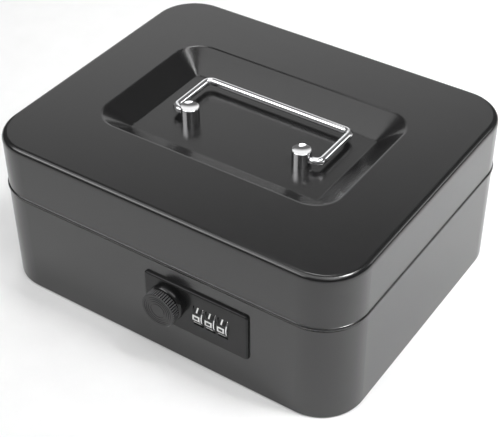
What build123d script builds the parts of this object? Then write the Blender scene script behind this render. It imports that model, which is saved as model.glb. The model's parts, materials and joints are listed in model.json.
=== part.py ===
from build123d import *
import math
import os

# Cash box: pressed steel case and lid, folding wire handle in a recess of the lid,
# three-dial combination lock with a turning knob, and a lift-out coin tray.
# Millimetres. +Z is up, -Y is the front (lock side), and the origin is the centre of the underside.

# ---- driving dimensions -------------------------------------------------------------------------
WIDTH = 200.0
DEPTH = 162.4
HEIGHT = 85.1
SEAM = 54.7                 # height of the joint line between case and lid
CORNER = 22.6               # plan radius of the four upright corners
SHEET = 1.0                 # steel sheet
SEAM_GAP = 0.4              # open line between the lid's edge and the case's shoulder
RIM_INSET = 1.6             # the case's upper rim is stepped in behind the lid's skirt
RIM_RISE = 6.0              # and stands this far above the joint line
LID_EDGE = 2.75             # rounding of the lid's top edge
BASE_EDGE = 1.2             # rounding of the case's bottom edge
BEAD = (0.6, 2.1)           # how far the lid's rolled lower edge stands out, and its height

DISH_DEPTH = 9.0            # recess pressed into the lid
DISH_TOP = (133.5, 84.0, 14.0)      # length, width and corner radius at the lid's surface
DISH_FLOOR = (107.0, 55.5, 1.5)     # the same at its floor
DISH_Y = 1.2
DISH_EDGE = 2.0
DISH_FLOOR_EDGE = 1.0
PAN_GROW = 0.6              # outward step of the recess's underside that keeps its slopes one sheet thick

POST_X = 32.3
POST_Y = -6.1
POST_RADIUS = 4.75
POST_HEIGHT = 8.3
POST_RIM = 0.8              # width of the flat rim round a post's top
POST_DISHING = 0.45         # depth of the hollow inside it
POST_STEP = 0.15            # drop from the rim to the hollow's edge
PIVOT_RISE = 4.0            # height of the handle's pivot above the recess floor
WIRE_RADIUS = 1.95
WIRE_BEND = 3.6
BAIL_HALF = 42.1            # half the handle's length, to the wire's centre line
BAIL_BAR_Y = 23.5
PIVOT_RADIUS = 1.0
RUNNING = 0.05              # radial clearance of a running fit

HINGE_X = 55.0
HINGE_WIDTH = 34.0
HINGE_OUT = 0.4             # pin centre line behind the rear wall's outer face
HINGE_PIN_RADIUS = 1.0
KNUCKLE_RADIUS = 2.0
KNUCKLE_GAP = 0.3
LEAF = 1.0
LEAF_HEIGHT = 17.0
RIVET_RADIUS = 1.6

LOCK_Z = 34.0               # height of the knob's and the dials' axes
PLATE_X = (-4.7, 53.0)
PLATE_Z = (20.3, 47.3)
PLATE = 1.5
PLATE_CORNER = 1.8
PLATE_EDGE = 1.0            # rounding of the plate's front edge
KNOB_X = 8.0
KNOB_REACH = 8.5            # knob face to the front wall
KNOB_RADIUS = 9.2
KNOB_GRIP = 3.9             # length of the ribbed grip
KNOB_RIBS = 44
RIB_RADIUS = 0.42
COLLAR_RADIUS = 9.6
COLLAR_DEPTH = 2.7
COLLAR_DOME = 2.4           # rounding of the collar's front edge
SPINDLE_RADIUS = 2.5
DIAL_X = (26.0, 32.8, 39.6)
DIAL_RADIUS = 7.3
DIAL_REACH = 3.0            # dial rim to the front wall
DIAL_LEFT = 2.5             # dial's left face to its centre
DIAL_RIGHT = 2.0
DIAL_WINDOW = (5.5, 11.4)
HUB_FLANGE = (2.15, 2.75)   # left and right faces of the hub's flange, from the dial's centre
HUB_FLANGE_RADIUS = 7.0
HUB_RADIUS = 4.0
DIAL_SHAFT_RADIUS = 1.5
DIGITS = 10
CASE_X = (-3.0, 51.5)
CASE_Z = (22.0, 46.0)
CASE_WALL = 1.2
CASE_DEPTH = 13.0
COVER = 1.0

CRANK = 3.54                # cam pin to spindle centre
CAM_PIN_RADIUS = 1.0
LATCH_THROW = 5.0
TAB_X = 24.0                # strike tab on the lid

TRAY_WALL = 1.8
TRAY_SIDE = 4.0             # tray to the case's outer face, at the ends and the rear
TRAY_FRONT = 17.6           # tray to the case's outer face, behind the lock
TRAY_FLOOR = 30.0
TRAY_TOP = 58.0
TRAY_GRIP_RISE = 5.0
TRAY_CUPS = 4
TRAY_CUP_DEPTH = 60.0

# ---- places worked out from them ----------------------------------------------------------------
FRONT = -DEPTH / 2
BACK = DEPTH / 2
DISH_Z = HEIGHT - DISH_DEPTH
PIVOT_Z = DISH_Z + PIVOT_RISE
PIN_Y = BACK + HINGE_OUT
PLATE_FACE = FRONT - PLATE
KNOB_FACE = FRONT - KNOB_REACH
DIAL_Y = FRONT - DIAL_REACH + DIAL_RADIUS
CASE_FRONT = FRONT + SHEET
CASE_BACK = CASE_FRONT + CASE_DEPTH
LATCH_Y = (DIAL_Y + 1.0, DIAL_Y + 4.0)
CAM_Y = (CASE_FRONT + 7.2, CASE_FRONT + 8.6)
LEG_Y = (CAM_Y[1] + 0.35, CAM_Y[1] + 1.35)
CLIP_Y = (CASE_FRONT + CASE_WALL + 0.4, CASE_FRONT + CASE_WALL + 1.0)
LATCH_Z = (LOCK_Z + DIAL_RADIUS + 1.1, LOCK_Z + DIAL_RADIUS + 2.4)
NOSE_Z = (48.4, 51.0)
TAB_LOW = CASE_Z[1] + 0.5
DIAL_BRACKETS = (DIAL_X[0] - 4.6, DIAL_X[-1] + 5.2)
RESET_X = 33.0
SIDES = (-1, 1)


# ---- small helpers ------------------------------------------------------------------------------
def slab(inset, low, high):
    """The box's plan, set in by `inset`, between two heights."""
    plan = RectangleRounded(WIDTH - 2 * inset, DEPTH - 2 * inset, CORNER - inset)
    return Pos(0, 0, low) * extrude(plan, amount=high - low)


def block(x, y, z):
    """A box given by its lowest and highest x, y and z."""
    centre = Pos((x[0] + x[1]) / 2, (y[0] + y[1]) / 2, (z[0] + z[1]) / 2)
    return centre * Box(x[1] - x[0], y[1] - y[0], z[1] - z[0])


def rod_x(radius, x, y, z):
    """A round bar along X, between x[0] and x[1]."""
    return Pos((x[0] + x[1]) / 2, y, z) * Rot(0, 90, 0) * Cylinder(radius, x[1] - x[0])


def rod_y(radius, x, y, z):
    """A round bar along Y, between y[0] and y[1]."""
    return Pos(x, (y[0] + y[1]) / 2, z) * Rot(90, 0, 0) * Cylinder(radius, y[1] - y[0])


def rod_z(radius, x, y, z):
    """A round bar along Z, between z[0] and z[1]."""
    return Pos(x, y, (z[0] + z[1]) / 2) * Cylinder(radius, z[1] - z[0])


def rounded_plate_y(x, z, y, radius):
    """An upright plate with rounded corners, between y[0] and y[1]."""
    plan = Plane.XZ * RectangleRounded(x[1] - x[0], z[1] - z[0], radius)
    plate = extrude(plan, amount=(y[1] - y[0]) / 2, both=True)
    return Pos((x[0] + x[1]) / 2, (y[0] + y[1]) / 2, (z[0] + z[1]) / 2) * plate


# ---- case and lid -------------------------------------------------------------------------------
def lock_screw_places():
    inset = 3.2
    return [(x, z) for x in (CASE_X[0] + inset, CASE_X[1] - inset)
            for z in (CASE_Z[0] + inset, CASE_Z[1] - inset)]


def hinge_notch(x):
    """The slot across the joint line that a hinge's knuckles pass through."""
    half = HINGE_WIDTH / 2 + KNUCKLE_GAP
    reach = KNUCKLE_RADIUS + KNUCKLE_GAP
    return block((x - half, x + half), (BACK - RIM_INSET - 2, BACK + 1), (SEAM - reach, SEAM + reach))


def rivet_places():
    rise = 11.0
    spread = 10.0
    return [(side * HINGE_X + dx, rise) for side in SIDES for dx in (-spread, spread)]


def body_shell():
    """Lower case: floor, walls, shoulder at the joint line and the stepped-in rim above it."""
    top = SEAM - SEAM_GAP / 2
    outside = slab(0, 0, top)
    outside = fillet(outside.edges().group_by(Axis.Z)[0], BASE_EDGE)
    rim_inner = RIM_INSET + SHEET
    shell = outside + slab(RIM_INSET, top - SHEET, SEAM + RIM_RISE)
    shell -= slab(SHEET, SHEET, top - SHEET)
    shell -= slab(rim_inner, top - 2 * SHEET, SEAM + RIM_RISE + 1)
    for side in SIDES:
        shell -= hinge_notch(side * HINGE_X)
        half = HINGE_WIDTH / 2 + KNUCKLE_GAP
        x = (side * HINGE_X - half, side * HINGE_X + half)
        y = (BACK - rim_inner - 1, BACK - SHEET)
        shell -= block(x, y, (top - 2 * SHEET, SEAM + RIM_RISE + 1))
    for x, rise in rivet_places():
        shell -= rod_y(RIVET_RADIUS, x, (BACK - 2, BACK + 1), SEAM - rise)
    window_x = (DIAL_X[0] - 3.6, DIAL_X[-1] + 4.4)
    shell -= block(window_x, (FRONT - 1, FRONT + 2), (LOCK_Z - 6.8, LOCK_Z + 6.8))
    shell -= rod_y(SPINDLE_RADIUS + 1.5, KNOB_X, (FRONT - 1, FRONT + 2), LOCK_Z)
    for x, z in lock_screw_places():
        shell -= rod_y(1.9, x, (FRONT - 1, FRONT + 2), z)
    return shell


def dish_section(rise, grow=0.0):
    """Outline of the lid's recess at a height above its floor."""
    share = rise / DISH_DEPTH
    length, width, radius = [low + (high - low) * share for low, high in zip(DISH_FLOOR, DISH_TOP)]
    outline = RectangleRounded(length + 2 * grow, width + 2 * grow, radius + grow)
    return Pos(0, DISH_Y, DISH_Z + rise) * outline


def lid_shell():
    """Pressed lid: top, skirt and the recess with sloping sides and pinched lower corners."""
    bottom = SEAM + SEAM_GAP / 2
    outside = slab(0, bottom, HEIGHT)
    outside = fillet(outside.edges().group_by(Axis.Z)[-1], LID_EDGE)
    bead = slab(-BEAD[0], bottom, bottom + BEAD[1])
    ends = bead.edges().group_by(Axis.Z)
    outside += fillet(ends[0] + ends[-1], BEAD[1] * 0.48)
    outside -= loft([dish_section(0), dish_section(DISH_DEPTH + 1)])
    mouth = outside.edges().filter_by_position(Axis.Z, HEIGHT - 0.01, HEIGHT + 0.01)
    mouth = [e for e in mouth if abs(e.center().X) < DISH_TOP[0] / 2 + 1 and abs(e.center().Y) < 50]
    outside = fillet(mouth, DISH_EDGE)
    floor = outside.edges().filter_by_position(Axis.Z, DISH_Z - 0.01, DISH_Z + 0.01)
    outside = fillet(floor, DISH_FLOOR_EDGE)
    inside = slab(SHEET, bottom - 1, HEIGHT - SHEET)
    inside = fillet(inside.edges().group_by(Axis.Z)[-1], LID_EDGE - SHEET)
    pan = loft([dish_section(0, PAN_GROW), dish_section(DISH_DEPTH + 1, PAN_GROW)])
    inside -= Pos(0, 0, -SHEET) * pan
    shell = outside - inside
    for side in SIDES:
        shell -= hinge_notch(side * HINGE_X)
        shell -= rod_z(2.5, side * POST_X, POST_Y, (DISH_Z - 3, DISH_Z + 1))
    for x, rise in rivet_places():
        shell -= rod_y(RIVET_RADIUS, x, (BACK - 2, BACK + 1), SEAM + rise)
    return shell


# ---- handle -------------------------------------------------------------------------------------
def handle_post(side):
    """Turned post with a dished top, a side hole for the handle and a spigot through the lid."""
    x = side * POST_X
    post = rod_z(POST_RADIUS, x, POST_Y, (DISH_Z, DISH_Z + POST_HEIGHT))
    post = fillet(post.edges().group_by(Axis.Z)[-1], 0.5)
    hollow = POST_RADIUS - POST_RIM
    sphere = (hollow ** 2 + POST_DISHING ** 2) / (2 * POST_DISHING)
    top = DISH_Z + POST_HEIGHT
    ledge = top - POST_STEP
    post -= rod_z(hollow, x, POST_Y, (ledge, top + 1))
    post -= Pos(x, POST_Y, ledge + sphere - POST_DISHING) * Sphere(sphere)
    post += rod_z(2.4, x, POST_Y, (DISH_Z - SHEET, DISH_Z + 1))
    post -= rod_z(1.55, x, POST_Y, (DISH_Z - 2, DISH_Z + 2.2))
    face = x + side * POST_RADIUS
    bore = sorted((face - side * 3.6, face + side))
    post -= rod_x(PIVOT_RADIUS + RUNNING, bore, POST_Y, PIVOT_Z)
    sink = Cone(1.0, 2.2, 1.6)
    post -= Pos(face - side * 0.3, POST_Y, PIVOT_Z) * Rot(0, side * 90, 0) * sink
    return post


def handle_post_screws():
    screws = []
    under = DISH_Z - SHEET - 0.8
    for side in SIDES:
        x = side * POST_X
        head = rod_z(2.75, x, POST_Y, (under - 1.6, under))
        head = fillet(head.edges().group_by(Axis.Z)[0], 0.6)
        screw = head + rod_z(1.5, x, POST_Y, (under - 0.5, DISH_Z + 2.0))
        screw -= block((x - 2, x + 2), (POST_Y - 0.3, POST_Y + 0.3), (under - 2, under - 1.0))
        screws.append(screw)
    return Compound(children=screws)


def handle_post_washers():
    under = DISH_Z - SHEET
    washers = []
    for side in SIDES:
        washer = rod_z(4.5, side * POST_X, POST_Y, (under - 0.8, under))
        washers.append(washer - rod_z(1.6, side * POST_X, POST_Y, (under - 1, under + 1)))
    return Compound(children=washers)


def bail_handle():
    """Wire handle: long bar, two arms, and necked ends that enter the posts from outside."""
    end_x = POST_X + POST_RADIUS + 1.15
    half = [(end_x, POST_Y), (BAIL_HALF, POST_Y), (BAIL_HALF, BAIL_BAR_Y)]
    corners = [(-x, y, PIVOT_Z) for x, y in half] + [(x, y, PIVOT_Z) for x, y in reversed(half)]
    path = FilletPolyline(*corners, radius=WIRE_BEND)
    bail = sweep(Plane(path @ 0, z_dir=path % 0) * Circle(WIRE_RADIUS), path=path)
    for side in SIDES:
        collar = sorted((side * (end_x - 0.7), side * (end_x + 0.1)))
        neck = sorted((side * (end_x - 4.2), side * (end_x - 0.6)))
        bail += rod_x(1.45, collar, POST_Y, PIVOT_Z)
        bail += rod_x(PIVOT_RADIUS, neck, POST_Y, PIVOT_Z)
    return bail


# ---- hinges -------------------------------------------------------------------------------------
def knuckle_spans():
    """Start and end along X, from the hinge's centre: outer two on the case, middle one on the lid."""
    half = HINGE_WIDTH / 2
    outer = 8.5
    middle = half - outer - KNUCKLE_GAP
    return [(-half, -half + outer), (half - outer, half)], [(-middle, middle)]


def hinge_leaf(x, up):
    """A leaf against the wall's inner face, curled round the pin at the joint line."""
    spans = knuckle_spans()[1 if up > 0 else 0]
    half = HINGE_WIDTH / 2
    near = SEAM + up * (KNUCKLE_RADIUS + KNUCKLE_GAP + 0.2)
    far = SEAM + up * LEAF_HEIGHT
    inner = BACK - SHEET - LEAF
    leaf = block((x - half, x + half), (inner, BACK - SHEET), sorted((near, far)))
    for start, end in spans:
        web = sorted((SEAM + up * (KNUCKLE_RADIUS - LEAF), SEAM + up * KNUCKLE_RADIUS))
        leaf += block((x + start, x + end), (inner, PIN_Y), web)
        leaf += block((x + start, x + end), (inner, BACK - SHEET), sorted((web[0 if up > 0 else 1], near)))
        leaf += rod_x(KNUCKLE_RADIUS, (x + start, x + end), PIN_Y, SEAM)
    bore = HINGE_PIN_RADIUS + RUNNING
    leaf -= rod_x(bore, (x - half - 1, x + half + 1), PIN_Y, SEAM)
    for place, rise in rivet_places():
        if abs(place - x) < half:
            leaf -= rod_y(RIVET_RADIUS, place, (inner - 1, BACK), SEAM + up * rise)
    return leaf


def hinge_pin(x):
    half = HINGE_WIDTH / 2
    pin = rod_x(HINGE_PIN_RADIUS, (x - half - 0.2, x + half + 0.2), PIN_Y, SEAM)
    return pin


def hinge_rivets(up):
    """Flat-headed rivets through the rear wall and one row of hinge leaves."""
    rivets = []
    for x, rise in rivet_places():
        z = SEAM + up * rise
        inner = BACK - SHEET - LEAF
        rivet = rod_y(RIVET_RADIUS, x, (inner, BACK), z)
        outer_head = rod_y(2.9, x, (BACK, BACK + 0.9), z)
        rivet += fillet(outer_head.edges().group_by(Axis.Y)[-1], 0.7)
        rivet += rod_y(2.4, x, (inner - 0.6, inner), z)
        rivets.append(rivet)
    return Compound(children=rivets)


# ---- lock ---------------------------------------------------------------------------------------
def lock_plate():
    """Front plate with a knob hole, three dial windows and four bosses for the case screws."""
    plate = rounded_plate_y(PLATE_X, PLATE_Z, (PLATE_FACE, FRONT), PLATE_CORNER)
    plate = fillet(plate.edges().group_by(Axis.Y)[0], PLATE_EDGE)
    plate -= rod_y(SPINDLE_RADIUS + RUNNING, KNOB_X, (PLATE_FACE - 1, FRONT + 1), LOCK_Z)
    width, height = DIAL_WINDOW
    for x in DIAL_X:
        window = (x - DIAL_LEFT - 0.2, x - DIAL_LEFT - 0.2 + width)
        plate -= rod_x(DIAL_RADIUS + 0.3, window, DIAL_Y, LOCK_Z)
        plate -= block(window, (PLATE_FACE - 1, FRONT + 1), (LOCK_Z - height / 2, LOCK_Z + height / 2))
    for x, z in lock_screw_places():
        plate += rod_y(1.8, x, (FRONT - 0.2, CASE_FRONT), z)
        plate -= rod_y(0.85, x, (FRONT - 0.9, CASE_FRONT + 1), z)
    return plate


def knob_collar():
    collar = rod_y(COLLAR_RADIUS, KNOB_X, (PLATE_FACE - COLLAR_DEPTH, PLATE_FACE), LOCK_Z)
    collar = fillet(collar.edges().group_by(Axis.Y)[0], COLLAR_DOME)
    bore = (PLATE_FACE - COLLAR_DEPTH - 1, PLATE_FACE + 1)
    return collar - rod_y(SPINDLE_RADIUS + 1.0, KNOB_X, bore, LOCK_Z)


def lock_case():
    """Open-backed housing behind the front wall, with a slot in its top for the latch."""
    case = block(CASE_X, (CASE_FRONT, CASE_BACK), CASE_Z)
    case = fillet(case.edges().filter_by(Axis.Y), 1.5)
    inner_x = (CASE_X[0] + CASE_WALL, CASE_X[1] - CASE_WALL)
    inner_z = (CASE_Z[0] + CASE_WALL, CASE_Z[1] - CASE_WALL)
    case -= block(inner_x, (CASE_FRONT + CASE_WALL, CASE_BACK + 1), inner_z)
    for x, z in cover_screw_places():
        case += rod_y(2.0, x, (CASE_FRONT + 0.5, CASE_BACK), z)
        case -= rod_y(0.85, x, (CASE_BACK - 6, CASE_BACK + 1), z)
    window_x = (DIAL_X[0] - 3.3, DIAL_X[-1] + 4.2)
    case -= block(window_x, (CASE_FRONT - 1, CASE_FRONT + 2), (LOCK_Z - 7.2, LOCK_Z + 7.2))
    case -= rod_y(SPINDLE_RADIUS + RUNNING, KNOB_X, (CASE_FRONT - 1, CASE_FRONT + 2), LOCK_Z)
    case -= block((13.0, 23.6), (LATCH_Y[0] - 0.4, LATCH_Y[1] + 0.4), (CASE_Z[1] - 2, CASE_Z[1] + 1))
    for x, z in lock_screw_places():
        case -= rod_y(0.95, x, (CASE_FRONT - 1, CASE_FRONT + 2), z)
    for x in DIAL_BRACKETS:
        bracket = block((x - 0.7, x + 0.7), (CASE_FRONT + 0.5, DIAL_Y + 2.6), (LOCK_Z - 2.6, LOCK_Z + 2.6))
        foot = block((x - 0.7, x + 0.7), (CASE_FRONT + 1.5, DIAL_Y + 2.6), (inner_z[0] - 0.5, LOCK_Z))
        case += bracket + foot
        case -= rod_x(DIAL_SHAFT_RADIUS, (x - 2, x + 2), DIAL_Y, LOCK_Z)
    return case


def cover_screw_places():
    return [(CASE_X[0] + 2.8, LOCK_Z), (CASE_X[1] - 2.8, LOCK_Z)]


def lock_cover():
    """Back cover of the lock case, with a slot for the code reset lever."""
    cover = rounded_plate_y(CASE_X, CASE_Z, (CASE_BACK, CASE_BACK + COVER), 1.5)
    for x, z in cover_screw_places():
        cover -= rod_y(1.1, x, (CASE_BACK - 1, CASE_BACK + 2), z)
    slot_x = (RESET_X - 2.3, RESET_X + 5.3)
    return cover - block(slot_x, (CASE_BACK - 1, CASE_BACK + 2), (LOCK_Z - 1.6, LOCK_Z + 1.6))


def lock_case_screws():
    screws = []
    for x, z in lock_screw_places():
        seat = CASE_FRONT + CASE_WALL
        head = rod_y(1.7, x, (seat, seat + 1.1), z)
        head = fillet(head.edges().group_by(Axis.Y)[-1], 0.4)
        screws.append(head + rod_y(0.8, x, (FRONT - 0.6, seat + 0.5), z))
    return Compound(children=screws)


def lock_cover_screws():
    screws = []
    seat = CASE_BACK + COVER
    for x, z in cover_screw_places():
        head = rod_y(1.9, x, (seat, seat + 1.0), z)
        head = fillet(head.edges().group_by(Axis.Y)[-1], 0.4)
        screws.append(head + rod_y(0.8, x, (CASE_BACK - 5, seat + 0.5), z))
    return Compound(children=screws)


def combination_knob():
    """Knob with a plain neck, a round-ribbed grip and a face with turned rings."""
    grip_end = KNOB_FACE + KNOB_GRIP
    outline = Circle(KNOB_RADIUS - RIB_RADIUS)
    for turn in range(KNOB_RIBS):
        outline += Rot(0, 0, turn * 360 / KNOB_RIBS) * Pos(KNOB_RADIUS - RIB_RADIUS, 0) * Circle(RIB_RADIUS)
    grip = Pos(KNOB_X, KNOB_FACE, LOCK_Z) * extrude(Plane.XZ * outline, amount=-KNOB_GRIP)
    blank = rod_y(KNOB_RADIUS + 0.1, 0, (KNOB_FACE, grip_end), 0)
    grip &= Pos(KNOB_X, 0, LOCK_Z) * chamfer(blank.edges().group_by(Axis.Y)[0], 0.5)
    neck_y = (grip_end - 0.5, PLATE_FACE - COLLAR_DEPTH - 0.3)
    knob = grip + rod_y(KNOB_RADIUS - 2.4, KNOB_X, neck_y, LOCK_Z)
    for radius in (7.6, 6.6, 5.4, 4.0):
        ring = rod_y(radius, KNOB_X, (KNOB_FACE - 1, KNOB_FACE + 0.15), LOCK_Z)
        knob -= ring - rod_y(radius - 0.35, KNOB_X, (KNOB_FACE - 2, KNOB_FACE + 1), LOCK_Z)
    return knob


def knob_spindle():
    spindle = rod_y(SPINDLE_RADIUS, KNOB_X, (PLATE_FACE - COLLAR_DEPTH - 0.3, CAM_Y[1]), LOCK_Z)
    groove = rod_y(SPINDLE_RADIUS + 1, KNOB_X, CLIP_Y, LOCK_Z) - rod_y(1.9, KNOB_X, CLIP_Y, LOCK_Z)
    return spindle - groove


def spindle_clip():
    """Retaining ring in the spindle's groove."""
    clip = rod_y(4.2, KNOB_X, CLIP_Y, LOCK_Z) - rod_y(1.9, KNOB_X, (CLIP_Y[0] - 1, CLIP_Y[1] + 1), LOCK_Z)
    mouth_y = (CLIP_Y[0] - 1, CLIP_Y[1] + 1)
    return clip - block((KNOB_X - 1.4, KNOB_X + 1.4), mouth_y, (LOCK_Z - 6, LOCK_Z - 1))


def knob_cam():
    """Disc on the spindle's end with a crank pin that drives the latch."""
    cam = rod_y(5.2, KNOB_X, CAM_Y, LOCK_Z)
    cam -= rod_y(SPINDLE_RADIUS, KNOB_X, (CAM_Y[0] - 1, CAM_Y[1] + 1), LOCK_Z)
    reach = CRANK * math.sin(math.radians(45))
    return cam + rod_y(CAM_PIN_RADIUS, KNOB_X - reach, (CAM_Y[0] + 0.3, LEG_Y[1] + 0.3), LOCK_Z + reach)


def latch_bolt():
    """Sliding latch: slotted leg on the cam pin, top plate, and a nose outside the case."""
    pin_x = KNOB_X - CRANK * math.sin(math.radians(45))
    leg = block((pin_x - 3.2, pin_x + 3.2), LEG_Y, (LOCK_Z - 0.5, LATCH_Z[1]))
    slot = CAM_PIN_RADIUS + 0.35
    leg -= block((pin_x - slot, pin_x + slot), (LEG_Y[0] - 1, LEG_Y[1] + 1), (LOCK_Z + 0.9, LOCK_Z + 5.3))
    plate = block((pin_x - 3.2, DIAL_X[-1] + 4), (LATCH_Y[0], LEG_Y[1]), LATCH_Z)
    stem = block((13.6, 17.6), LATCH_Y, (LATCH_Z[0], NOSE_Z[1]))
    nose = block((13.6, TAB_X - 0.5), LATCH_Y, NOSE_Z)
    nose = chamfer(nose.edges().group_by(Axis.X)[-1].filter_by(Axis.Y), 0.7)
    bolt = leg + plate + stem + nose
    for x in DIAL_X:
        bolt += block((x + 2.9, x + 3.7), LATCH_Y, (LATCH_Z[0] - 0.6, LATCH_Z[0] + 0.5))
    return bolt


def latch_spring():
    """Coil spring that throws the latch: closed up here, with the latch drawn back."""
    turns = 6
    length = 4.4
    wire = 0.25
    helix = Helix(pitch=length / turns, height=length, radius=1.3)
    coil = sweep(Plane(helix @ 0, z_dir=helix % 0) * Circle(wire), path=helix, is_frenet=True)
    start = CASE_X[0] + CASE_WALL + wire + 0.05
    return Pos(start, LEG_Y[0] - 2.2, LATCH_Z[0] - 2.4) * Rot(0, 90, 0) * coil


def dial_wheel(x):
    """Number wheel with ten shallow finger grooves between the digits."""
    wheel = rod_x(DIAL_RADIUS, (x - DIAL_LEFT, x + DIAL_RIGHT), DIAL_Y, LOCK_Z)
    wheel = chamfer(wheel.edges().filter_by(GeomType.CIRCLE), 0.35)
    for turn in range(DIGITS):
        angle = math.radians((turn + 0.5) * 360 / DIGITS)
        y = DIAL_Y + (DIAL_RADIUS + 0.55) * math.cos(angle)
        z = LOCK_Z + (DIAL_RADIUS + 0.55) * math.sin(angle)
        wheel -= rod_x(0.8, (x - 4, x + 4), y, z)
    return wheel - rod_x(HUB_RADIUS, (x - 4, x + 4), DIAL_Y, LOCK_Z)


def dial_hub(x):
    """Metal sleeve that turns with the wheel, with a notched flange on its right."""
    hub = rod_x(HUB_RADIUS, (x - DIAL_LEFT, x + HUB_FLANGE[1]), DIAL_Y, LOCK_Z)
    flange = rod_x(HUB_FLANGE_RADIUS, (x + HUB_FLANGE[0], x + HUB_FLANGE[1]), DIAL_Y, LOCK_Z)
    notch_z = (LOCK_Z + HUB_FLANGE_RADIUS - 2, LOCK_Z + HUB_FLANGE_RADIUS + 1)
    flange -= block((x, x + 4), (DIAL_Y - 1.2, DIAL_Y + 1.2), notch_z)
    return hub + flange - rod_x(DIAL_SHAFT_RADIUS + RUNNING, (x - 4, x + 4), DIAL_Y, LOCK_Z)


def dial_shaft():
    return rod_x(DIAL_SHAFT_RADIUS, (DIAL_BRACKETS[0] - 1.5, DIAL_BRACKETS[1] + 1.5), DIAL_Y, LOCK_Z)


def detent_spring():
    """Leaf spring along the case floor with one finger under each dial."""
    floor = CASE_Z[0] + CASE_WALL
    strip = block((DIAL_X[0] - 2.4, DIAL_X[-1] + 2.4), (DIAL_Y + 3.2, DIAL_Y + 6.0), (floor, floor + 0.4))
    for x in DIAL_X:
        strip += block((x - 1.2, x + 1.2), (DIAL_Y - 1.5, DIAL_Y + 3.4), (floor, floor + 0.4))
        strip += rod_x(1.5, (x - 1.2, x + 1.2), DIAL_Y, floor + 1.5)
    return strip


def reset_lever():
    """Code change lever: a tab through the cover's slot on a plate inside it."""
    tab_y = (CASE_BACK - 0.9, CASE_BACK + COVER + 1.2)
    tab = block((RESET_X - 2.0, RESET_X + 2.0), tab_y, (LOCK_Z - 1.3, LOCK_Z + 1.3))
    tab = fillet(tab.edges().filter_by(Axis.Z).group_by(Axis.Y)[-1], 0.8)
    plate_y = (CASE_BACK - 1.1, CASE_BACK - 0.3)
    plate = block((RESET_X - 3.2, RESET_X + 3.2), plate_y, (LOCK_Z - 3.0, LOCK_Z + 3.0))
    return tab + plate


def lid_strike():
    """Keeper welded inside the lid's front, with a window that the latch nose enters."""
    skirt = FRONT + SHEET
    low = SEAM + RIM_RISE + 1.2
    flange = block((TAB_X, TAB_X + 12), (skirt, skirt + 1.2), (low, low + 14))
    inner = LATCH_Y[1] + 2.2
    outline = Polyline((skirt, low), (skirt, low + 14), (inner - 1.2, low + 14), (inner, low),
                       (inner, TAB_LOW), (skirt + 2.4, TAB_LOW), (skirt + 2.4, low), close=True)
    tab = extrude(Plane.YZ * make_face(outline), amount=1.2)
    tab = Pos(TAB_X, 0, 0) * tab
    window_y = (LATCH_Y[0] - 0.9, LATCH_Y[1] + 0.9)
    tab -= block((TAB_X - 1, TAB_X + 3), window_y, (NOSE_Z[0] - 0.95, NOSE_Z[1] + 0.95))
    return flange + tab


# ---- tray ---------------------------------------------------------------------------------------
def tray_support(side):
    """Angle strip welded inside an end wall, that the tray rests on."""
    length = 84.0
    wall = side * (WIDTH / 2 - SHEET)
    ledge_top = TRAY_FLOOR - 0.3
    upright = block(sorted((wall, wall - side)), (-length / 2, length / 2), (ledge_top - 9, ledge_top))
    ledge = block(sorted((wall, wall - side * 8)), (-length / 2, length / 2), (ledge_top - 1, ledge_top))
    return upright + ledge


def tray_cups():
    """Lowest and highest x and y of each compartment, the long one last."""
    x_low = -WIDTH / 2 + TRAY_SIDE + TRAY_WALL
    y_low = FRONT + TRAY_FRONT + TRAY_WALL
    y_high = BACK - TRAY_SIDE - TRAY_WALL
    pitch = (-2 * x_low + TRAY_WALL) / TRAY_CUPS
    cups = []
    for number in range(TRAY_CUPS):
        start = x_low + number * pitch
        cups.append((start, start + pitch - TRAY_WALL, y_low, y_low + TRAY_CUP_DEPTH))
    cups.append((x_low, -x_low, y_low + TRAY_CUP_DEPTH + TRAY_WALL, y_high))
    return cups


def coin_tray():
    """Moulded tray: four scooped coin cups in front, one long compartment, and a finger grip."""
    y_low = FRONT + TRAY_FRONT
    y_high = BACK - TRAY_SIDE
    length = WIDTH - 2 * TRAY_SIDE
    middle = (y_low + y_high) / 2
    corner = CORNER - TRAY_SIDE
    body = RectangleRounded(length - 2 * TRAY_WALL, y_high - y_low - 2 * TRAY_WALL, corner - TRAY_WALL)
    tray = Pos(0, middle, TRAY_FLOOR) * extrude(body, amount=TRAY_TOP - TRAY_FLOOR)
    lip = Pos(0, middle, TRAY_TOP - TRAY_WALL) * extrude(
        RectangleRounded(length, y_high - y_low, corner), amount=TRAY_WALL)
    tray += lip
    divider = y_low + TRAY_WALL + TRAY_CUP_DEPTH + TRAY_WALL / 2
    grip = block((-16, 16), (divider - 2.2, divider + 2.2), (TRAY_TOP - 12, TRAY_TOP + TRAY_GRIP_RISE))
    grip = fillet(grip.edges().filter_by(Axis.Y).group_by(Axis.Z)[-1], 3.0)
    inner = Pos(0, middle, TRAY_FLOOR) * extrude(RectangleRounded(
        length - 4 * TRAY_WALL, y_high - y_low - 4 * TRAY_WALL, corner - 2 * TRAY_WALL), amount=60)
    for x0, x1, y0, y1 in tray_cups():
        cup = block((x0, x1), (y0, y1), (TRAY_FLOOR + TRAY_WALL, TRAY_TOP + 1))
        scoop = 16.0
        low = cup.edges().filter_by(Axis.X).group_by(Axis.Z)[0]
        cup = fillet(low, scoop)
        cup = cup & inner
        tray -= cup
    return tray + grip


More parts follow.
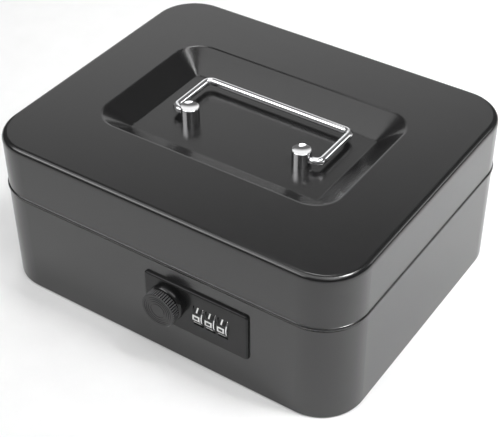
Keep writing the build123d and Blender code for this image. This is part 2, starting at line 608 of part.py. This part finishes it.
parts = {
    "body_shell": body_shell(),
    "lid_shell": lid_shell(),
    "handle_post_left": handle_post(-1),
    "handle_post_right": handle_post(1),
    "handle_post_screws": handle_post_screws(),
    "handle_post_washers": handle_post_washers(),
    "bail_handle": bail_handle(),
    "hinge_body_rivets": hinge_rivets(-1),
    "hinge_lid_rivets": hinge_rivets(1),
    "lock_plate": lock_plate(),
    "knob_collar": knob_collar(),
    "lock_case": lock_case(),
    "lock_cover": lock_cover(),
    "lock_case_screws": lock_case_screws(),
    "lock_cover_screws": lock_cover_screws(),
    "combination_knob": combination_knob(),
    "knob_spindle": knob_spindle(),
    "spindle_clip": spindle_clip(),
    "knob_cam": knob_cam(),
    "latch_bolt": latch_bolt(),
    "latch_spring": latch_spring(),
    "dial_shaft": dial_shaft(),
    "detent_spring": detent_spring(),
    "reset_lever": reset_lever(),
    "lid_strike": lid_strike(),
    "coin_tray": coin_tray(),
}
for side, name in zip(SIDES, ("left", "right")):
    parts["hinge_" + name + "_body_leaf"] = hinge_leaf(side * HINGE_X, -1)
    parts["hinge_" + name + "_lid_leaf"] = hinge_leaf(side * HINGE_X, 1)
    parts["hinge_" + name + "_pin"] = hinge_pin(side * HINGE_X)
    parts["tray_support_" + name] = tray_support(side)
for number, x in enumerate(DIAL_X, start=1):
    parts["dial_wheel_" + str(number)] = dial_wheel(x)
    parts["dial_hub_" + str(number)] = dial_hub(x)

os.makedirs("parts", exist_ok=True)
for name, shape in parts.items():
    export_step(shape, "parts/" + name + ".step")
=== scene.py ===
import bpy
import bmesh
import json
import math
from mathutils import Matrix, Vector


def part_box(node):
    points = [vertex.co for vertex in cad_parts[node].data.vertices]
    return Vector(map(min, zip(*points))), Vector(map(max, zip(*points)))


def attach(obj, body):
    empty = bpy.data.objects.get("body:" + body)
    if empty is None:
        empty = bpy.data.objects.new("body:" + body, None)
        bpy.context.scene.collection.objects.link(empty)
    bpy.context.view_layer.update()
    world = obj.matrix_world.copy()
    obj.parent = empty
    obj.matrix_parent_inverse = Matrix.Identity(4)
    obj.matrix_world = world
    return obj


# Cash box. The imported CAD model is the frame, and this script adds the camera, the studio, a
# procedural material for every node and the digits on the dials. Lengths are in metres.

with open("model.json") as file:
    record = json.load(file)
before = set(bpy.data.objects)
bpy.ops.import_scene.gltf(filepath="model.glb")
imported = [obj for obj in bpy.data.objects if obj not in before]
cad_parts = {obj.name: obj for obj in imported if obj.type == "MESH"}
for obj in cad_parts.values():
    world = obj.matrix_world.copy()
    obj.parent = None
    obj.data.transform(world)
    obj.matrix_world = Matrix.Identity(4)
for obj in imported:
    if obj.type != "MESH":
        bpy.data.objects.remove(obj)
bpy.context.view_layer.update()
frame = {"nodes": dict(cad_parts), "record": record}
nodes = frame["nodes"]
MM = 0.001


# ---- camera -------------------------------------------------------------------------------------
CAMERA_AZIMUTH = 34.37      # degrees to the right of the front
CAMERA_ELEVATION = 39.40
CAMERA_ROLL = -0.57
CAMERA_DISTANCE = 0.6303
CAMERA_LENS = 89.67         # mm
CAMERA_SENSOR = 36.0        # mm wide
CAMERA_AIM = Vector((0.0, 0.0, 0.036))
CAMERA_SHIFT = (-0.00113, -0.00955)     # the aim point, moved in the picture plane


def make_camera():
    azimuth = math.radians(CAMERA_AZIMUTH)
    elevation = math.radians(CAMERA_ELEVATION)
    roll = math.radians(CAMERA_ROLL)
    level = math.cos(elevation)
    back = Vector((math.sin(azimuth) * level, -math.cos(azimuth) * level, math.sin(elevation)))
    side = (-back).cross(Vector((0, 0, 1))).normalized()
    rise = side.cross(-back)
    right = side * math.cos(roll) + rise * math.sin(roll)
    up = rise * math.cos(roll) - side * math.sin(roll)
    place = CAMERA_AIM + right * CAMERA_SHIFT[0] + up * CAMERA_SHIFT[1] + back * CAMERA_DISTANCE
    camera = bpy.data.objects.new("camera", bpy.data.cameras.new("camera"))
    camera.data.lens = CAMERA_LENS
    camera.data.sensor_width = CAMERA_SENSOR
    camera.data.clip_start = 0.01
    camera.matrix_world = Matrix.Translation(place) @ Matrix((right, up, back)).transposed().to_4x4()
    bpy.context.scene.collection.objects.link(camera)
    bpy.context.scene.camera = camera


# ---- studio -------------------------------------------------------------------------------------
WORLD_STRENGTH = 0.15
FLOOR_SIZE = 5.0


def soft_panel(name, place, aim, size, radiance, spread=180):
    """A rectangular light of a given brightness, seen in the paint as a pale shape."""
    light = bpy.data.lights.new(name, "AREA")
    light.shape = "RECTANGLE"
    light.size, light.size_y = size
    light.energy = radiance * math.pi * size[0] * size[1]
    light.spread = math.radians(spread)
    lamp = bpy.data.objects.new(name, light)
    lamp.location = place
    lamp.rotation_euler = (Vector(place) - Vector(aim)).to_track_quat("Z", "Y").to_euler()
    bpy.context.scene.collection.objects.link(lamp)


def fading_card(name, place, size, fade):
    """A glowing upright card that faces the box; its brightness changes evenly between two heights."""
    half, height = size[0] / 2, size[1]
    mesh = bpy.data.meshes.new(name)
    mesh.from_pydata([(-half, 0, 0), (half, 0, 0), (half, 0, height), (-half, 0, height)], [], [(0, 1, 2, 3)])
    material, tree, shader = new_material(name)
    tree.nodes.remove(shader)
    glow = tree.nodes.new("ShaderNodeEmission")
    split = tree.nodes.new("ShaderNodeSeparateXYZ")
    tree.links.new(object_place(tree), split.inputs["Vector"])
    tree.links.new(map_range(tree, split.outputs["Z"], *fade), glow.inputs["Strength"])
    tree.links.new(glow.outputs["Emission"], tree.nodes["Material Output"].inputs["Surface"])
    mesh.materials.append(material)
    card = bpy.data.objects.new(name, mesh)
    card.location = place
    card.rotation_euler = (0, 0, math.atan2(place[0], -place[1]))
    bpy.context.scene.collection.objects.link(card)


def make_world():
    world = bpy.data.worlds.new("studio")
    world.use_nodes = True
    background = world.node_tree.nodes["Background"]
    background.inputs["Color"].default_value = (1, 1, 1, 1)
    background.inputs["Strength"].default_value = WORLD_STRENGTH
    bpy.context.scene.world = world
    bpy.context.scene.view_settings.view_transform = "Standard"


def make_lights():
    """Name, place, the point each light faces, its size, its radiance and, for two, its spread."""
    soft_panel("overhead_softbox", (0, -0.50, 1.0), (0, -0.50, 0), (2.0, 0.86), 1.45)
    soft_panel("high_softbox", (0.62, -0.15, 1.25), (0, 0, 0), (0.8, 0.8), 1.3)
    soft_panel("front_strip", (-0.76, -1.0, 1.02), (0, -0.05, 0.08), (1.3, 0.42), 4.0)
    soft_panel("edge_panel", (1.02, 1.05, 0.66), (0, 0, 0.08), (0.35, 0.36), 3.2)
    soft_panel("floor_panel_right", (0.80, 0.30, 1.5), (0.32, 0.18, 0.0), (0.5, 0.5), 2.3, 32)
    soft_panel("floor_panel_back", (-0.55, 0.75, 1.6), (-0.38, 0.26, 0.0), (0.5, 0.5), 0.7, 40)


def make_floor():
    half = FLOOR_SIZE / 2
    corners = [(-half, -half, 0), (half, -half, 0), (half, half, 0), (-half, half, 0)]
    mesh = bpy.data.meshes.new("floor")
    mesh.from_pydata(corners, [], [(0, 1, 2, 3)])
    mesh.materials.append(coated("floor", (0.86, 0.86, 0.86), (0.88, 0.88, 0.88), (0.5, 0.6), 300, 0.00002))
    floor = bpy.data.objects.new("floor", mesh)
    bpy.context.scene.collection.objects.link(floor)


def make_studio():
    make_world()
    fading_card("back_card", (-0.86, 1.22, 0.0), (1.2, 1.45), (0.95, 1.42, 1.04, 0.28))
    make_lights()
    make_floor()


# ---- materials ----------------------------------------------------------------------------------
NOISE_DETAIL = 3
NOISE_SPAN = (0.3, 0.7)     # the part of the noise's range that carries most of its area
COLOUR_PATCHES = 60         # noise scales
GLOSS_PATCHES = 220
RIB_HIGHLIGHT_RADII = (8.70 * MM, 9.45 * MM)       # distances from the knob's axis that the painted highlight band below spans
RIB_HIGHLIGHT_BAND = ((0.15, 0), (0.45, 1), (0.70, 1), (0.80, 0))     # share of that span, and how strongly the highlight is painted there
GRIP_LENGTH = 3.9 * MM      # ribbed part of the knob, behind its face
GRIP_FADE = 0.2 * MM


def new_material(name):
    material = bpy.data.materials.new(name)
    material.use_nodes = True
    tree = material.node_tree
    return material, tree, tree.nodes["Principled BSDF"]


def object_place(tree):
    """The point being shaded, in metres in the object's own space."""
    return tree.nodes.new("ShaderNodeTexCoord").outputs["Object"]


def map_range(tree, value, from_min, from_max, to_min, to_max):
    node = tree.nodes.new("ShaderNodeMapRange")
    node.inputs["From Min"].default_value = from_min
    node.inputs["From Max"].default_value = from_max
    node.inputs["To Min"].default_value = to_min
    node.inputs["To Max"].default_value = to_max
    tree.links.new(value, node.inputs["Value"])
    return node.outputs["Result"]


def noise(tree, scale):
    """A noise texture in object space, so its grain has a real size."""
    texture = tree.nodes.new("ShaderNodeTexNoise")
    texture.inputs["Scale"].default_value = scale
    texture.inputs["Detail"].default_value = NOISE_DETAIL
    tree.links.new(object_place(tree), texture.inputs["Vector"])
    return texture.outputs["Fac"]


def blend_colours(tree, share, low, high):
    ramp = tree.nodes.new("ShaderNodeValToRGB")
    for element, position, colour in zip(ramp.color_ramp.elements, NOISE_SPAN, (low, high)):
        element.position = position
        element.color = (*colour, 1)
    tree.links.new(share, ramp.inputs["Fac"])
    return ramp.outputs["Color"]


def bump(tree, shader, height, depth):
    node = tree.nodes.new("ShaderNodeBump")
    node.inputs["Distance"].default_value = depth
    node.inputs["Strength"].default_value = 1.0
    tree.links.new(height, node.inputs["Height"])
    tree.links.new(node.outputs["Normal"], shader.inputs["Normal"])


def coated(name, low, high, roughness, grain, depth, metallic=0.0, specular=0.5):
    """A paint, plating or moulding: two close colours, uneven gloss and a fine bumpy skin."""
    material, tree, shader = new_material(name)
    shader.inputs["Metallic"].default_value = metallic
    shader.inputs["Specular IOR Level"].default_value = specular
    colour = blend_colours(tree, noise(tree, COLOUR_PATCHES), low, high)
    gloss = map_range(tree, noise(tree, GLOSS_PATCHES), *NOISE_SPAN, *roughness)
    tree.links.new(colour, shader.inputs["Base Color"])
    tree.links.new(gloss, shader.inputs["Roughness"])
    bump(tree, shader, noise(tree, grain), depth)
    return material


def distance_from_axis(tree, axis):
    """Distance of the shaded point from a line through axis along Y."""
    offset = tree.nodes.new("ShaderNodeVectorMath")
    offset.operation = "SUBTRACT"
    offset.inputs[1].default_value = axis
    flatten = tree.nodes.new("ShaderNodeVectorMath")
    flatten.operation = "MULTIPLY"
    flatten.inputs[1].default_value = (1, 0, 1)
    length = tree.nodes.new("ShaderNodeVectorMath")
    length.operation = "LENGTH"
    tree.links.new(object_place(tree), offset.inputs[0])
    tree.links.new(offset.outputs["Vector"], flatten.inputs[0])
    tree.links.new(flatten.outputs["Vector"], length.inputs[0])
    return length.outputs["Value"]


def painted_rib_highlight(tree, axis):
    """Mask for the painted highlight: 1 at the knob's rib tips and 0 nearer to its axis or further out."""
    band = tree.nodes.new("ShaderNodeValToRGB")
    stops = band.color_ramp.elements
    while len(stops) < len(RIB_HIGHLIGHT_BAND):
        stops.new(1.0)
    for element, (position, value) in zip(stops, RIB_HIGHLIGHT_BAND):
        element.position = position
        element.color = (value, value, value, 1)
    span = map_range(tree, distance_from_axis(tree, axis), *RIB_HIGHLIGHT_RADII, 0, 1)
    tree.links.new(span, band.inputs["Fac"])
    return band.outputs["Color"]


def plastic_with_painted_rib_highlight(name, low, high, highlight_colour):
    """Moulded plastic with a painted highlight: paler at the tips of the knob's ribs and nowhere behind its
    grip.
    """
    material = coated(name, low, high, (0.14, 0.18), 1500, 0.000003, specular=0.42)
    tree = material.node_tree
    shader = tree.nodes["Principled BSDF"]
    face, axis = knob_face_and_axis()
    back = face + GRIP_LENGTH
    split = tree.nodes.new("ShaderNodeSeparateXYZ")
    tree.links.new(object_place(tree), split.inputs["Vector"])
    in_front = map_range(tree, split.outputs["Y"], back, back + GRIP_FADE, 1, 0)
    highlight_mask = tree.nodes.new("ShaderNodeMath")
    highlight_mask.operation = "MULTIPLY"
    highlight_mix = tree.nodes.new("ShaderNodeMix")
    highlight_mix.data_type = "RGBA"
    highlight_mix.inputs["B"].default_value = (*highlight_colour, 1)
    plain = shader.inputs["Base Color"].links[0].from_socket
    tree.links.new(painted_rib_highlight(tree, axis), highlight_mask.inputs[0])
    tree.links.new(in_front, highlight_mask.inputs[1])
    tree.links.new(highlight_mask.outputs["Value"], highlight_mix.inputs["Factor"])
    tree.links.new(plain, highlight_mix.inputs["A"])
    tree.links.new(highlight_mix.outputs["Result"], shader.inputs["Base Color"])
    return material


def knob_face_and_axis():
    """In the knob's own space: the Y of its face, and a point on its turning axis."""
    low, high = (Vector(corner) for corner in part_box("combination_knob"))
    to_knob = nodes["combination_knob"].matrix_world.inverted()
    return (to_knob @ low).y, to_knob @ ((low + high) / 2)


def grey(level):
    return (level, level, level * 1.03)


def make_materials():
    """By slot: two colours, roughness range, grain scale, grain depth, metallic and specular."""
    recipes = {
        "case_paint": (grey(0.0055), grey(0.0065), (0.20, 0.22), 1400, 0.000003, 0, 0.75),
        "lid_paint": (grey(0.0055), grey(0.0065), (0.20, 0.23), 1400, 0.000003, 0, 0.75),
        "chrome": ((0.86, 0.86, 0.87), (0.90, 0.90, 0.91), (0.05, 0.09), 900, 0.000002, 1),
        "zinc": ((0.55, 0.56, 0.57), (0.66, 0.67, 0.68), (0.28, 0.40), 1500, 0.00001, 1),
        "spring_steel": ((0.45, 0.45, 0.46), (0.60, 0.60, 0.62), (0.20, 0.30), 1500, 0.00001, 1),
        "hinge_steel": (grey(0.02), grey(0.03), (0.35, 0.45), 1400, 0.00002),
        "rivet_paint": (grey(0.02), grey(0.03), (0.35, 0.45), 1400, 0.00002),
        "lock_plastic": (grey(0.006), grey(0.009), (0.22, 0.26), 2600, 0.000008, 0, 0.28),
        "case_plastic": (grey(0.03), grey(0.04), (0.40, 0.50), 2000, 0.00002),
        "dial_plastic": (grey(0.010), grey(0.014), (0.30, 0.40), 2000, 0.00001),
        "bright_metal": ((0.85, 0.85, 0.86), (0.90, 0.90, 0.91), (0.15, 0.22), 1500, 0.000005, 1),
        "lever_plastic": ((0.30, 0.30, 0.31), (0.34, 0.34, 0.35), (0.40, 0.50), 1800, 0.00002),
        "tray_plastic": (grey(0.022), grey(0.03), (0.38, 0.50), 1800, 0.00005),
        "digit_ink": ((0.78, 0.78, 0.77), (0.84, 0.84, 0.83), (0.45, 0.55), 2000, 0.00001),
    }
    made = {slot: coated(slot, *recipe) for slot, recipe in recipes.items()}
    # the knob's rib tips get a painted highlight, a paler grey mixed into the base colour
    made["knob_plastic"] = plastic_with_painted_rib_highlight("knob_plastic", grey(0.008), grey(0.011), grey(0.10))
    return made


def paint_nodes(materials):
    slots = {part["node"]: part["material_slot"] for part in frame["record"]["subparts"]}
    for name, thing in nodes.items():
        thing.data.materials.clear()
        thing.data.materials.append(materials[slots[name]])


# ---- dial digits --------------------------------------------------------------------------------
STROKES = {     # each digit as lines on a grid 2 wide and 4 high
    0: [[(0, 0), (2, 0), (2, 4), (0, 4), (0, 0)]],
    1: [[(1, 0), (1, 4)]],
    2: [[(0, 4), (2, 4), (2, 2), (0, 2), (0, 0), (2, 0)]],
    3: [[(0, 4), (2, 4), (2, 0), (0, 0)], [(0, 2), (2, 2)]],
    4: [[(0, 4), (0, 2), (2, 2)], [(2, 4), (2, 0)]],
    5: [[(2, 4), (0, 4), (0, 2), (2, 2), (2, 0), (0, 0)]],
    6: [[(2, 4), (0, 4), (0, 0), (2, 0), (2, 2), (0, 2)]],
    7: [[(0, 4), (2, 4), (1, 0)]],
    8: [[(0, 0), (2, 0), (2, 4), (0, 4), (0, 0)], [(0, 2), (2, 2)]],
    9: [[(0, 0), (2, 0), (2, 4), (0, 4), (0, 2), (2, 2)]],
}
GRID_WIDTH = 2
GRID_HEIGHT = 4
DIGIT_WIDTH = 3.1 * MM
DIGIT_HEIGHT = 2.35 * MM
STROKE = 0.8 * MM
STROKE_SPANS = 4
INK = 0.05 * MM             # how far a digit stands off its drum


def stroke_patch(mesh, start, end, wrap):
    """A line from start to end, as wide as a stroke, in spans that follow the drum's curve."""
    along = Vector(end) - Vector(start)
    step = along.normalized()
    across = Vector((-step.y, step.x)) * STROKE / 2
    first = Vector(start) - step * STROKE / 2
    last = Vector(end) + step * STROKE / 2
    rows = []
    for count in range(STROKE_SPANS + 1):
        middle = first.lerp(last, count / STROKE_SPANS)
        rows.append([mesh.verts.new(wrap(middle + across)), mesh.verts.new(wrap(middle - across))])
    for near, far in zip(rows, rows[1:]):
        mesh.faces.new((near[0], near[1], far[1], far[0]))


def dial_digits(number, material):
    """The ten digits of one dial, round its drum."""
    low, high = (Vector(corner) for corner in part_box("dial_wheel_" + str(number)))
    centre = (low + high) / 2
    radius = (high.y - low.y) / 2 + INK
    mesh = bmesh.new()
    for digit, lines in STROKES.items():
        turn = 2 * math.pi * digit / len(STROKES)

        def wrap(point):
            angle = turn + point.y / radius
            forward = radius * math.cos(angle)
            return (centre.x + point.x, centre.y - forward, centre.z + radius * math.sin(angle))

        for line in lines:
            points = []
            for x, y in line:
                points.append(((x / GRID_WIDTH - 0.5) * DIGIT_WIDTH, (y / GRID_HEIGHT - 0.5) * DIGIT_HEIGHT))
            for start, end in zip(points, points[1:]):
                stroke_patch(mesh, start, end, wrap)
    data = bpy.data.meshes.new("dial_digits_" + str(number))
    mesh.to_mesh(data)
    mesh.free()
    data.materials.append(material)
    piece = bpy.data.objects.new(data.name, data)
    bpy.context.scene.collection.objects.link(piece)
    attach(piece, "dial_" + str(number))


# ---- build --------------------------------------------------------------------------------------
make_camera()
make_studio()
materials = make_materials()
paint_nodes(materials)
for number in (1, 2, 3):
    dial_digits(number, materials["digit_ink"])
